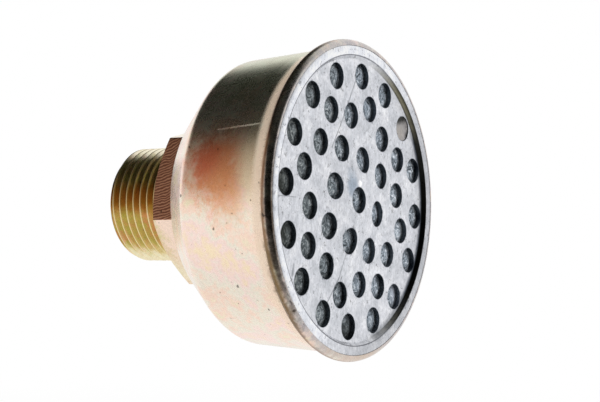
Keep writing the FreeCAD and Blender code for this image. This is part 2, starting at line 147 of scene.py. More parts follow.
# On the cup: a rosy patch with a red heart and an olive cloud; as painted highlights, a pale strip by the
# neck on the left and a pale band round the flare; as painted shade, a brown band round the neck and dark
# brown on the left of neck and lip; a grey band round the lip; and tan at the bottom of the lip as a painted
# reflection.
CUP_TONE_AND_PAINTED_LIGHT = (((-23.4, -21.6, 4.8), (9.0, 8.6, 7.5), "#E2986C", 0.9),
              ((-23.4, -19.6, 5.6), (5.0, 4.0, 4.2), "#D8694E", 0.6),
              ((-24.0, -24.0, 0.8), (8.0, 6.5, 6.5), "#E8A878", 0.65),
              # Painted highlight: a pale strip by the neck on the left.
              ((-22.0, -29.2, 6.5), (9.0, 4.8, 12.0), "#FFF8DC", 0.9),
              ((-12.0, -24.0, 21.0), (15.0, 15.0, 9.0), "#DDE4C4", 0.8),
              # Painted highlight round the flare, painted shade round the neck, and a grey band round the lip.
              ((0, -30.0, 0), (200, 1.7, 200), "#FFE4CA", 0.8),
              ((0, -31.5, 0), (200, 1.0, 200), "#8A6444", 0.9),
              ((0, -33.8, 0), (200, 2.3, 200), "#B4B0B3", 1.0),
              # Painted reflection: tan at the bottom of the lip.
              ((-4, -33.8, -28), (26, 2.3, 8), "#DCC7B2", 0.9),
              # Painted shade: dark brown on the left of the neck and lip.
              ((-21.0, -31.6, -12.0), (10.0, 1.5, 15.0), "#7C6646", 0.9),
              ((-25.5, -33.2, -4.0), (5.0, 1.4, 18.0), "#5A4C3E", 0.9))

# Parts of the room that stay unlit: direction, unlit within and lit beyond, in degrees.
BEHIND_CAMERA = ((-0.54, -0.78, 0.40), 56, 70)
UNLIT = (BEHIND_CAMERA, ((0.03, 0.43, 0.90), 31, 43), ((-0.45, -0.30, 0.84), 42, 54))
UNLIT_COLOUR = "#151810"
FLOOR_REACH = 4.0
LAMP_PLACE = (0.35, -0.45, 0.6)


# Helpers

def linear(code):
    """An sRGB hex colour as linear RGBA."""
    parts = [int(code[i:i + 2], 16) / 255 for i in (1, 3, 5)]
    return (*[p / 12.92 if p <= 0.04045 else ((p + 0.055) / 1.055) ** 2.4 for p in parts], 1.0)


def per_mm(size):
    """Scale of a texture on Object coordinates whose features are this many millimetres wide."""
    return 1 / (size * MM)


def at_angle(radius, angle, depth):
    """A point at an angle from the top towards -X, in millimetres, as a place in metres."""
    turn = math.radians(angle)
    return Vector((-radius * math.sin(turn), -depth, radius * math.cos(turn))) * MM


def flat_point(radius, angle):
    """The same place as two numbers in the plane of the plate, in millimetres."""
    turn = math.radians(angle)
    return -radius * math.sin(turn), radius * math.cos(turn)


def add_object(name, data):
    """A new object in the scene."""
    made = bpy.data.objects.new(name, data)
    bpy.context.scene.collection.objects.link(made)
    return made


def add_node(tree, kind, inputs=None, **settings):
    """A node with its settings, and its inputs set to values or linked to sockets."""
    made = tree.nodes.new(kind)
    for key, value in settings.items():
        setattr(made, key, value)
    for socket, value in (inputs or {}).items():
        if isinstance(value, bpy.types.NodeSocket):
            tree.links.new(value, made.inputs[socket])
        else:
            made.inputs[socket].default_value = value
    return made


def maths(tree, operation, *values):
    """Result of a Math node."""
    return add_node(tree, "ShaderNodeMath", dict(enumerate(values)), operation=operation).outputs["Value"]


def vectors(tree, operation, *values):
    """Result of a Vector Math node, which is a number for a length, a distance or a dot product."""
    made = add_node(tree, "ShaderNodeVectorMath", dict(enumerate(values)), operation=operation)
    return made.outputs["Value" if operation in ("LENGTH", "DISTANCE", "DOT_PRODUCT") else "Vector"]


def scaled(tree, vector, factor):
    """A vector or a colour times a number."""
    return add_node(tree, "ShaderNodeVectorMath", {0: vector, "Scale": factor},
                    operation="SCALE").outputs["Vector"]


def flattened(tree, vector):
    """The vector without its part along the axis."""
    return vectors(tree, "MULTIPLY", vector, (1.0, 0.0, 1.0))


def parts_of(tree, vector):
    """The X, Y and Z sockets of a vector."""
    return add_node(tree, "ShaderNodeSeparateXYZ", {"Vector": vector}).outputs


def turn_of(tree, part):
    """Angle about the axis, from the top towards -X."""
    return maths(tree, "ARCTAN2", maths(tree, "MULTIPLY", part["X"], -1.0), part["Z"])


def largest(tree, values):
    """The largest of some sockets."""
    most = values[0]
    for value in values[1:]:
        most = maths(tree, "MAXIMUM", most, value)
    return most


def mapped(tree, value, start, end, low=0.0, high=1.0, way="LINEAR"):
    """A number that runs from low to high as the value runs from start to end, and holds beyond."""
    return add_node(tree, "ShaderNodeMapRange", {"Value": value, "From Min": start, "From Max": end,
                                                 "To Min": low, "To Max": high},
                    interpolation_type=way).outputs["Result"]


def eased(tree, *values):
    """The same with a soft start and end."""
    return mapped(tree, *values, way="SMOOTHSTEP")


def mixed(tree, share, first, second, **settings):
    """A mix of two colours, each a socket or a hex code."""
    first, second = (linear(c) if isinstance(c, str) else c for c in (first, second))
    return add_node(tree, "ShaderNodeMix", {"Factor": share, "A": first, "B": second}, data_type="RGBA",
                    **settings).outputs["Result"]


def clouds(tree, place, size, detail, roughness=0.5, **more):
    """Noise with features this many millimetres wide."""
    return add_node(tree, "ShaderNodeTexNoise", {"Vector": place, "Scale": per_mm(size), "Detail": detail,
                                                 "Roughness": roughness, **more}).outputs["Fac"]


def colour_ramp(tree, factor, *stops):
    """The colour from a ramp, given as places and hex colours."""
    ramp = add_node(tree, "ShaderNodeValToRGB", {"Fac": factor})
    made = ramp.color_ramp.elements
    made[0].position, made[1].position = stops[0][0], stops[-1][0]
    made[0].color, made[1].color = linear(stops[0][1]), linear(stops[-1][1])
    for place, colour in stops[1:-1]:
        made.new(place).color = linear(colour)
    return ramp.outputs["Color"]


# Materials

def new_material(name):
    """An empty material, its node tree and the socket with the place in the part."""
    material = bpy.data.materials.new(name)
    material.use_nodes = True
    tree = material.node_tree
    tree.nodes.clear()
    return material, tree, add_node(tree, "ShaderNodeTexCoord").outputs["Object"]


def end_material(tree, colour, metal, roughness, relief, strength, height):
    """The surface itself, with its fine relief of a height in millimetres."""
    bump = add_node(tree, "ShaderNodeBump", {"Height": relief, "Strength": strength, "Distance": height * MM})
    shader = add_node(tree, "ShaderNodeBsdfPrincipled", {
        "Base Color": colour, "Metallic": metal, "Roughness": roughness, "Normal": bump.outputs["Normal"]})
    add_node(tree, "ShaderNodeOutputMaterial", {"Surface": shader.outputs["BSDF"]})


def with_stains_and_painted_light(tree, place, ragged, film, stains_and_light):
    """A colour with patches of stain and of painted light over it, whose edges are as ragged as a noise."""
    for centre, reach, colour, strength in stains_and_light:
        offset = vectors(tree, "SUBTRACT", place, Vector(centre) * MM)
        away = vectors(tree, "LENGTH", vectors(tree, "DIVIDE", offset, Vector(reach) * MM))
        edge = maths(tree, "MULTIPLY_ADD", ragged, 1.4, away)
        film = mixed(tree, eased(tree, edge, 1.75, 0.95, 0.0, strength), film, colour)
    return film


def along_lines(tree, place, lines):
    """Share of a line mark at a place."""
    shares = []
    for start, end, width in lines:
        reach = (Vector(end) - Vector(start)) * MM
        offset = vectors(tree, "SUBTRACT", place, Vector(start) * MM)
        along = vectors(tree, "DOT_PRODUCT", offset, reach / reach.length_squared)
        held = add_node(tree, "ShaderNodeClamp", {"Value": along}).outputs["Result"]
        away = vectors(tree, "DISTANCE", offset, scaled(tree, reach, held))
        shares.append(mapped(tree, away, width * MM, 0.3 * width * MM))
    return largest(tree, shares)


def milled_flat(tree, place, film, crest, facing, swept_from, browns):
    """Colour with the cutter's sweeps and a brown painted reflection on the hexagon's flat facing one way, and
    the share painted pale as a highlight on the thread's crests and the hexagon's chamfer.
    """
    normal = add_node(tree, "ShaderNodeNewGeometry").outputs["Normal"]
    below_thread = mapped(tree, parts_of(tree, place)["Y"], 0.0, -0.1 * MM)
    flat = mapped(tree, vectors(tree, "DOT_PRODUCT", normal, facing), 0.93, 0.97, 0.0, below_thread)
    sweep = vectors(tree, "SUBTRACT", place, Vector(swept_from) * MM)
    marks = add_node(tree, "ShaderNodeTexWave", {"Vector": sweep, "Scale": per_mm(1.5), "Distortion": 7.0,
                                                 "Detail": 3.0, "Detail Scale": 0.8},
                     wave_type="RINGS", rings_direction="X").outputs["Fac"]
    # The browns on this flat are a painted reflection; the sweeps in them are the cutter's.
    film = mixed(tree, flat, film, colour_ramp(tree, marks, *zip((0.0, 0.55, 1.0), browns)))
    # The hexagon's chamfer joins the crests in the share that is painted pale as a highlight.
    end_face = mapped(tree, parts_of(tree, normal)["Y"], 0.4, 0.6, 0.0, below_thread)
    return film, maths(tree, "MAXIMUM", crest, end_face)


def chromated_steel(name, colours, roughness, stains_and_light, milled=(), scratched=()):
    """Zinc plated steel under a yellow chromate film: a satin metal, cream where it mirrors light. The thin
    film drifts between yellow, pink and faint green, and patches from a table lie over it: rosy and olive
    tones, and painted reflections, highlights and shade, some coppery or brown. A milled flat keeps the
    cutter's sweeps in a brown painted reflection, and crests of a thread and the hexagon's chamfer are
    painted pale as highlights. A scuffed band and a scratch look chalky. The plating leaves dark specks and
    a fine grain, drawn as coarse as it needs to show."""
    material, tree, place = new_material(name)
    steps = [0.32 + 0.36 * i / (len(colours) - 1) for i in range(len(colours))]
    film = colour_ramp(tree, clouds(tree, place, 7, 4.0, 0.7), *zip(steps, colours))
    blotch = clouds(tree, place, 2.2, 5.0, 0.75)
    film = with_stains_and_painted_light(tree, place, blotch, film, stains_and_light)
    crest = add_node(tree, "ShaderNodeAttribute", attribute_name="crest").outputs["Fac"]
    if milled:
        film, crest = milled_flat(tree, place, film, crest, *milled)
    # Painted highlights: the thread's crests and the hexagon's chamfer are painted pale.
    highlit = mixed(tree, crest, film, "#F6E0AC")
    grain = clouds(tree, place, 0.35, 2.0, 0.7)
    shaded = scaled(tree, highlit, mapped(tree, grain, 0.3, 0.7, 0.92, 1.06))
    speckled = mixed(tree, 0.06, shaded, grain.node.outputs["Color"], blend_type="OVERLAY")
    clean = mapped(tree, clouds(tree, place, 1.1, 1.0), 0.21, 0.26, 0.35, 1.0)
    gloss = mapped(tree, blotch, 0.3, 0.7, roughness - 0.03, roughness + 0.04)
    worn = maths(tree, "MULTIPLY_ADD", crest, 0.2, gloss)
    metal = 1.0
    if scratched:
        from_band = maths(tree, "ABSOLUTE", maths(tree, "ADD", parts_of(tree, place)["Y"], SCUFFED * MM))
        scuffed = eased(tree, from_band, 1.5 * MM, 0.3 * MM, 0.0, 0.75)
        bare = maths(tree, "MULTIPLY", along_lines(tree, place, scratched), 0.45)
        metal = maths(tree, "SUBTRACT", 1.0, maths(tree, "MAXIMUM", bare, scuffed))
    end_material(tree, scaled(tree, speckled, clean), metal, worn, grain, 0.12, 0.02)
    return material


def plate_places(tree, place):
    """Distance from the plate's axis and from the edge of the nearest hole, both in millimetres."""
    out = maths(tree, "MULTIPLY", vectors(tree, "LENGTH", flattened(tree, place)), 1 / MM)
    angle = turn_of(tree, parts_of(tree, place))
    nearest = out
    for radius, steps, count in HOLE_RINGS:
        turn = math.radians(PLATE_TURN + steps * HALF_PITCH)
        half = math.pi / count
        from_hole = maths(tree, "WRAP", maths(tree, "SUBTRACT", angle, turn), half, -half)
        along = maths(tree, "MULTIPLY", out, maths(tree, "COSINE", from_hole))
        squares = maths(tree, "ADD", maths(tree, "MULTIPLY", out, out), radius ** 2)
        apart = maths(tree, "SUBTRACT", squares, maths(tree, "MULTIPLY", along, 2 * radius))
        nearest = maths(tree, "MINIMUM", nearest, maths(tree, "SQRT", apart))
    return out, maths(tree, "SUBTRACT", nearest, HOLE_R)


def punched_look(tree, place, drawn, zinc):
    """Colour and metallic share of the punched plate, with grime and scratch marks, painted shade in the holes'
    walls and the pan's corner, painted light across the flange, and the pip painted white as a highlight.
    """
    out, edge = plate_places(tree, place)
    part, flat = parts_of(tree, place), flattened(tree, place)
    tails = clouds(tree, drawn, 1.6, 4.0, 0.7)
    ragged = maths(tree, "SUBTRACT", maths(tree, "MULTIPLY_ADD", tails, 4.0, edge), 1.2)
    grime = colour_ramp(tree, ragged, (0.0, "#74787C"), (0.35, "#AEB2B6"), (0.7, WHITE))
    # Painted shade: the holes' walls, and a thin ring round each hole's edge, are painted darker.
    rim = colour_ramp(tree, mapped(tree, edge, -0.02, 0.12), (0.16, "#757B7F"), (0.3, "#D4D8DC"), (1.0, WHITE))
    # The pan's corner: a fine line on the left, and on the right painted shade down the slope, olive above and
    # below.
    corner = mapped(tree, out, 22.5, 24.0)
    line = colour_ramp(tree, corner, (0.6, WHITE), (0.65, "#8E8E92"), (0.72, "#8E8E92"), (0.78, WHITE))
    olive = colour_ramp(tree, corner, (0.2, WHITE), (0.3, "#6A6858"), (0.42, "#98927A"), (0.55, "#6E6A56"),
                        (0.64, "#3E3E34"), (0.69, WHITE))
    slope = colour_ramp(tree, mapped(tree, out, 21.5, 24.0), (0.2, WHITE), (0.48, "#5C6470"),
                        (0.58, "#44443E"), (0.77, "#50504A"), (0.8, WHITE))
    above = mapped(tree, part["Z"], 10.5 * MM, 13.5 * MM)
    below = mapped(tree, part["Z"], -15.5 * MM, -18.5 * MM)
    slope = mixed(tree, maths(tree, "MAXIMUM", above, below), slope, olive)
    filled = mixed(tree, eased(tree, part["X"], 2 * MM, 14 * MM), line, slope)
    for layer in (grime, rim, filled):
        zinc = vectors(tree, "MULTIPLY", zinc, layer)
    # Painted light on the flange: lighter at its upper left, darker at its lower right.
    slant = vectors(tree, "DOT_PRODUCT", place, (0.85, 0.0, -0.5))
    dull = eased(tree, slant, -4 * MM, 15 * MM, 1.26, 0.78)
    zinc = scaled(tree, zinc, mapped(tree, out, FLANGE_IN_R - 0.1, FLANGE_IN_R + 0.2, 1.0, dull))
    # Dark lines: scratch marks, and painted shade along the pan's corner at the lower right.
    zinc = mixed(tree, maths(tree, "MULTIPLY", along_lines(tree, flat, PLATE_MARKS), tails), zinc, "#565C64")
    # Painted highlight: the pip is painted white and not metallic.
    from_pip = vectors(tree, "DISTANCE", flat, Vector((PIP[0], 0, PIP[1])) * MM)
    off_pip = mapped(tree, from_pip, 0.3 * MM, 0.7 * MM)
    return mixed(tree, off_pip, WHITE, zinc), mapped(tree, edge, -0.03, -0.01, 0.45, off_pip)


def galvanised_sheet(name, stains_and_light=(), punched=False):
    """Galvanised sheet: pale blue-grey zinc with white flecks, blotches and pits. Where it is punched, grime
    hangs round the holes, painted shade darkens the holes' walls and the pan's corner, and the cut edges in
    the holes are dull."""
    material, tree, place = new_material(name)
    blotch = clouds(tree, place, 3.0, 5.0, 0.7)
    zinc = colour_ramp(tree, blotch, (0.34, "#C8CBD1"), (0.5, "#DADCE2"), (0.66, "#EEEFF3"))
    zinc = with_stains_and_painted_light(tree, place, blotch, zinc, stains_and_light)
    drawn = vectors(tree, "MULTIPLY", place, (1.0, 1.0, 0.6))
    flecks = clouds(tree, drawn, 0.45, 3.0, 0.85)
    zinc = scaled(tree, zinc, mapped(tree, flecks, 0.3, 0.7, 0.83, 1.2))
    zinc = scaled(tree, zinc, mapped(tree, clouds(tree, place, 1.0, 4.0, 0.8), 0.35, 0.41, 0.5, 1.0))
    metal = 1.0
    if punched:
        zinc, metal = punched_look(tree, place, drawn, zinc)
    end_material(tree, zinc, metal, 0.38, flecks, 0.25, 0.03)
    return material


def grey_felt(name, stains_and_light):
    """Needled felt: dull dark grey with pale strands that lie in all directions, with painted shade against the
    holes' walls and in the outer holes at the left and bottom, and darker towards the left."""
    material, tree, place = new_material(name)
    strands = clouds(tree, place, 1.5, 3.0, 0.7, Distortion=2.5)
    wool = colour_ramp(tree, strands, (0.34, "#33393D"), (0.45, "#737B83"), (0.55, "#A2ACB6"),
                       (0.66, "#EAEFF4"))
    wool = with_stains_and_painted_light(tree, place, 0.5, wool, stains_and_light)
    # Darker towards the left.
    darker_left = colour_ramp(tree, mapped(tree, parts_of(tree, place)["X"], -21 * MM, 21 * MM),
                          (0.0, "#A2A29A"), (0.3, "#CCCDCA"), (0.6, "#EFF1F4"), (1.0, WHITE))
    _, edge = plate_places(tree, place)
    # Painted shade darkens the felt against the holes' walls.
    wool = scaled(tree, vectors(tree, "MULTIPLY", wool, darker_left), mapped(tree, edge, -0.1, -0.9, 0.6, 1.0))
    end_material(tree, wool, 0.0, 0.95, strands, 0.6, 0.2)
    return material


# Pieces

def finish_piece(piece, material, smooth_angle):
    """Smooth shading up to an angle in degrees, and the material."""
    piece.data.shade_smooth()
    piece.data.set_sharp_from_angle(angle=math.radians(smooth_angle))
    paint(piece, material)


def paint(piece, material):
    """One material for the whole piece."""
    piece.data.materials.clear()
    piece.data.materials.append(material)


def outward(mesh):
    """Merge doubles, drop loose points and turn every face outwards."""
    work = bmesh.new()
    work.from_mesh(mesh)
    bmesh.ops.remove_doubles(work, verts=work.verts, dist=SAME_PLACE)
    bmesh.ops.delete(work, geom=[v for v in work.verts if not v.link_faces], context="VERTS")
    bmesh.ops.recalc_face_normals(work, faces=work.faces)
    work.to_mesh(mesh)
    work.free()


def new_tree(name, sockets):
    """A geometry node tree and its inputs: geometry, the named sockets, and a material."""
    tree = bpy.data.node_groups.new(name, "GeometryNodeTree")
    for label, kind in (("Geometry", "Geometry"), *sockets, ("Material", "Material")):
        tree.interface.new_socket(label, in_out="INPUT", socket_type="NodeSocket" + kind)
    tree.interface.new_socket("Geometry", in_out="OUTPUT", socket_type="NodeSocketGeometry")
    return tree, add_node(tree, "NodeGroupInput").outputs


def end_tree(tree, geometry, material):
    """Make the tree's result real and give it its material."""
    real = add_node(tree, "GeometryNodeRealizeInstances", {"Geometry": geometry}).outputs["Geometry"]
    painted = add_node(tree, "GeometryNodeSetMaterial", {"Geometry": real, "Material": material})
    add_node(tree, "NodeGroupOutput", {"Geometry": painted.outputs["Geometry"]})


def run_tree(piece, tree, values):
    """Give the piece the mesh that a node tree makes of its own, with the tree's named inputs set."""
    modifier = piece.modifiers.new("nodes", "NODES")
    modifier.node_group = tree
    for item in tree.interface.items_tree:
        if item.in_out == "INPUT" and item.name in values:
            modifier[item.identifier] = values[item.name]
    evaluated = piece.evaluated_get(bpy.context.evaluated_depsgraph_get())
    mesh = bpy.data.meshes.new_from_object(evaluated)
    piece.modifiers.remove(modifier)
    piece.data = mesh


def hex_radius(angle):
    """Radius of the hexagon at an angle from a corner, with the corner's edge broken."""
    corner = (HEX_FLAT - HEX_EDGE_R) / math.cos(math.radians(30))
    from_corner = math.radians((angle + 30) % 60 - 30)
    flat = HEX_FLAT / math.cos(math.radians(30) - abs(from_corner))
    inside = HEX_EDGE_R ** 2 - (corner * math.sin(from_corner)) ** 2
    if inside < 0:
        return flat
    return min(flat, corner * math.cos(from_corner) + math.sqrt(inside))


def fitting_mesh(name, rows_per_pitch, pitch):
    """The fitting as one closed turned surface: tip, blank for the thread, hexagon, neck, rivet and bore. The
    blank's rows climb one pitch in a turn, so the flanks of the thread run along them."""
    half = (0, 0.35, 0.7, 1.1, 1.8, 3.2, 5.2, 7.5, 10, 12.5, 15, 17.5, 20, 22.5, 25, 27.5)
    sector = (*half, 30, *[60 - a for a in reversed(half) if a > 0])
    angles = [60 * k + a for k in range(6) for a in sector]
    rise = pitch / rows_per_pitch
    last_row = math.ceil(THREAD_LENGTH / rise) + rows_per_pitch
    floor_in, top = HEX_HEIGHT + FLOOR_SHEET, HEX_HEIGHT + FLOOR_SHEET + RIVET_HEIGHT
    inner_part = ((NECK_R, HEX_HEIGHT), (NECK_R, floor_in), (RIVET_R, floor_in),
                  (RIVET_R, top - RIVET_HEIGHT / 2), (RIVET_R - RIVET_HEIGHT / 2, top),
                  (BORE_R + BORE_CHAMFER, top), (BORE_R, top - BORE_CHAMFER), (BORE_R, 0),
                  (BORE_R, BORE_CHAMFER - THREAD_LENGTH))

    def profile(angle):
        """Radius and depth of every ring at an angle."""
        radius = hex_radius(angle)
        fall = (radius - HEX_FACE_R) * math.tan(math.radians(HEX_CHAMFER))
        places = [(BORE_R + BORE_CHAMFER, -THREAD_LENGTH)]
        for row in range(last_row + 1):
            y = min(THREAD_LENGTH, max(0.0, THREAD_LENGTH + pitch * (1 - angle / 360) - row * rise))
            places.append((THREAD_R - max(0.0, y - THREAD_LENGTH + THREAD_CHAMFER), -y))
        places += [(HEX_FACE_R + (radius - HEX_FACE_R) * s, fall * s) for s in (0, 0.5, 0.9, 1.0)]
        places += [(radius, fall * (1 - s) + HEX_HEIGHT * s) for s in (0.04, 0.5, 0.97)]
        return [*places, (radius - HEX_EDGE_BREAK, HEX_HEIGHT), *inner_part]

    columns = [profile(angle) for angle in angles]
    rings, across = len(columns[0]), len(columns)
    vertices = [at_angle(column[i][0], angle + HEX_TURN, column[i][1])
                for i in range(rings) for angle, column in zip(angles, columns)]

    def corner(ring, column):
        """The vertex where a ring and a column cross. At the end of a turn the rows have climbed one pitch."""
        ring %= rings
        if column == across and 1 <= ring <= last_row + 1:
            ring = min(ring + rows_per_pitch, last_row + 1)
        return ring * across + column % across

    faces = [(corner(i, j), corner(i, j + 1), corner(i + 1, j + 1), corner(i + 1, j))
             for i in range(rings) for j in range(across)]
    mesh = bpy.data.meshes.new(name)
    mesh.from_pydata(vertices, [], faces)
    return mesh


def thread_tree(name):
    """Geometry nodes that cut a right-hand thread into the turned blank: every point outside the groove's
    profile is drawn in to it, so the profile follows the helix."""
    tree, given = new_tree(name, [(label, "Float") for label in ("Diameter", "Pitch", "Depth", "Run-out",
                                                                 "Start")])
    position = add_node(tree, "GeometryNodeInputPosition").outputs["Position"]
    part, flat = parts_of(tree, position), flattened(tree, position)
    turns = maths(tree, "DIVIDE", turn_of(tree, part), math.tau)
    along = maths(tree, "DIVIDE", maths(tree, "SUBTRACT", part["Y"], given["Start"]), given["Pitch"])
    phase = maths(tree, "FRACT", maths(tree, "ADD", along, turns))
    from_root = maths(tree, "ABSOLUTE", maths(tree, "SUBTRACT", maths(tree, "MULTIPLY", phase, 2.0), 1.0))
    # A crest an eighth of the pitch wide, a root a quarter wide, straight flanks between.
    groove = mapped(tree, from_root, 0.875, 0.25)
    run_out = mapped(tree, part["Y"], 0.0, given["Run-out"])
    cut = maths(tree, "MULTIPLY", maths(tree, "MULTIPLY", groove, run_out), given["Depth"])
    limit = maths(tree, "SUBTRACT", maths(tree, "DIVIDE", given["Diameter"], 2.0), cut)
    radius = vectors(tree, "LENGTH", flat)
    drawn = scaled(tree, flat, maths(tree, "DIVIDE", maths(tree, "MINIMUM", radius, limit), radius))
    height = vectors(tree, "MULTIPLY", position, (0.0, 1.0, 0.0))
    on_thread = add_node(tree, "FunctionNodeCompare", {"A": part["Y"], "B": 0.0},
                         operation="GREATER_THAN").outputs["Result"]
    place = vectors(tree, "ADD", drawn, height)
    moved = add_node(tree, "GeometryNodeSetPosition", {
        "Geometry": given["Geometry"], "Selection": on_thread, "Position": place})
    marked = add_node(tree, "GeometryNodeStoreNamedAttribute", {
        "Geometry": moved.outputs["Geometry"], "Selection": on_thread, "Name": "crest",
        "Value": mapped(tree, from_root, 0.84, 0.94, 0.0, run_out)}, data_type="FLOAT", domain="POINT")
    end_tree(tree, marked.outputs["Geometry"], given["Material"])
    return tree


def dome(radius):
    """Depth of the plate's face at a radius."""
    curve = (DOME_R ** 2 / 4 + DOME_HEIGHT ** 2 / 4) / DOME_HEIGHT
    if radius < DOME_R / 2:
        return FACE + DOME_HEIGHT - curve + math.sqrt(curve ** 2 - radius ** 2)
    if radius < DOME_R:
        return FACE + curve - math.sqrt(curve ** 2 - (DOME_R - radius) ** 2)
    return FACE


def grid_points(step, steps, reach, centre=(0.0, 0.0)):
    """Points of a triangular grid, this many steps to each side, that lie within reach of its centre."""
    points = []
    for i in range(-steps, steps + 1):
        for j in range(-steps, steps + 1):
            offset = Vector(((i + 0.5 * (j % 2)) * step, j * step * ROW_SHARE))
            if offset.length < reach:
                points.append(Vector(centre) + offset)
    return points


def blank_mesh(name, pip_height):
    """The plate before it is punched, as one closed sheet: pan with dome and pip, flange and bevel."""
    turns = [360 * j / PLATE_SIDES for j in range(PLATE_SIDES)]
    sides = [(j, (j + 1) % PLATE_SIDES) for j in range(PLATE_SIDES)]
    points = [Vector(flat_point(PAN_R, turn)) for turn in turns]
    points += grid_points(PLATE_GRID, GRID_STEPS, PAN_R - 0.3) + grid_points(PIP_GRID, PIP_STEPS, 1.0, PIP)
    placed, _, triangles, origins, _, _ = delaunay_2d_cdt(points, sides, [], 0, SAME_POINT)
    index = {old: new for new, olds in enumerate(origins) for old in olds}
    front, back = [], []
    for point in placed:
        depth = dome(point.length)
        pip = pip_height * math.exp(-((point - Vector(PIP)).length / PIP_SPREAD) ** 2)
        front.append((point.x, point.y, depth + pip))
        back.append((point.x, point.y, depth - PLATE_SHEET))
    vertices, count = front + back, len(front)
    faces = [tuple(triangle) for triangle in triangles]
    faces += [(c + count, b + count, a + count) for a, b, c in triangles]
    shift = PLATE_SHEET * math.tan(math.atan((FRONT - FACE) / (FLANGE_IN_R - PAN_R)) / 2)
    # Radius and depth round the edge: slope, flange, bevel, and back again under them.
    stations = [(PAN_R + 0.06, FACE + 0.035), (PAN_R + 0.14, FACE + 0.12), (FLANGE_IN_R - 0.14, FRONT - 0.12),
                (FLANGE_IN_R - 0.03, FRONT - 0.025), (FLANGE_IN_R + 0.1, FRONT), (24.2, FRONT + 0.02),
                (PLATE_R - 0.14, FRONT - 0.005), (PLATE_R - 0.08, FRONT - 0.04), (PLATE_R - 0.05, FRONT - 0.1),
                (PLATE_R, FRONT - PLATE_BEVEL), (PLATE_R, FRONT - PLATE_SHEET),
                (FLANGE_IN_R + shift, FRONT - PLATE_SHEET), (PAN_R + shift, FACE - PLATE_SHEET)]
    loops = [[index[j] for j in range(PLATE_SIDES)]]
    for radius, depth in stations:
        loops.append([len(vertices) + j for j in range(PLATE_SIDES)])
        vertices += [(*flat_point(radius, turn), depth) for turn in turns]
    loops.append([index[j] + count for j in range(PLATE_SIDES)])
    for inner, outer in zip(loops, loops[1:]):
        faces += [(inner[j], outer[j], outer[k], inner[k]) for j, k in sides]
    mesh = bpy.data.meshes.new(name)
    mesh.from_pydata([(x * MM, -depth * MM, z * MM) for x, z, depth in vertices], [], faces)
    outward(mesh)
    return mesh


def punch_tree(name):
    """Geometry nodes that punch the plate: one cutter on every point of the rings and one at the centre."""
    sockets = [(label, "Float") for label in ("Hole diameter", "Turn", "Face depth", "Stroke")]
    for number in range(1, len(HOLE_RINGS) + 1):
        sockets += [(f"Radius {number}", "Float"), (f"Holes {number}", "Int")]
    tree, given = new_tree(name, sockets)
    centre = add_node(tree, "GeometryNodePoints", {"Count": 1}).outputs["Points"]
    places = add_node(tree, "GeometryNodeJoinGeometry", {"Geometry": centre})
    for number, (_, steps, _) in enumerate(HOLE_RINGS, start=1):
        ring = add_node(tree, "GeometryNodeMeshCircle", {"Vertices": given[f"Holes {number}"],
                                                         "Radius": given[f"Radius {number}"]}).outputs["Mesh"]
        # A ring starts on X: a quarter turn more brings its first hole to the top.
        turn = maths(tree, "SUBTRACT", -RIGHT_ANGLE - math.radians(steps * HALF_PITCH), given["Turn"])
        upright = add_node(tree, "ShaderNodeCombineXYZ", {"X": RIGHT_ANGLE, "Y": turn}).outputs["Vector"]
        stood = add_node(tree, "GeometryNodeTransform", {"Geometry": ring, "Rotation": upright})
        tree.links.new(stood.outputs["Geometry"], places.inputs["Geometry"])
    level = scaled(tree, (0.0, -1.0, 0.0), given["Face depth"])
    lowered = add_node(tree, "GeometryNodeTransform", {"Geometry": places.outputs["Geometry"],
                                                       "Translation": level}).outputs["Geometry"]
    punch = add_node(tree, "GeometryNodeMeshCylinder", {
        "Vertices": PUNCH_SIDES, "Radius": maths(tree, "MULTIPLY", given["Hole diameter"], 0.5),
        "Depth": given["Stroke"]}).outputs["Mesh"]
    upright_punch = add_node(tree, "GeometryNodeTransform", {
        "Geometry": punch, "Rotation": (RIGHT_ANGLE, 0.0, 0.0)}).outputs["Geometry"]
    set_out = add_node(tree, "GeometryNodeInstanceOnPoints", {"Points": lowered, "Instance": upright_punch})
    cutters = add_node(tree, "GeometryNodeRealizeInstances", {"Geometry": set_out.outputs["Instances"]})
    punched = add_node(tree, "GeometryNodeMeshBoolean", {
        "Mesh 1": given["Geometry"], "Mesh 2": cutters.outputs["Geometry"]}, operation="DIFFERENCE",
        solver="MANIFOLD")
    end_tree(tree, punched.outputs["Mesh"], given["Material"])
    return tree


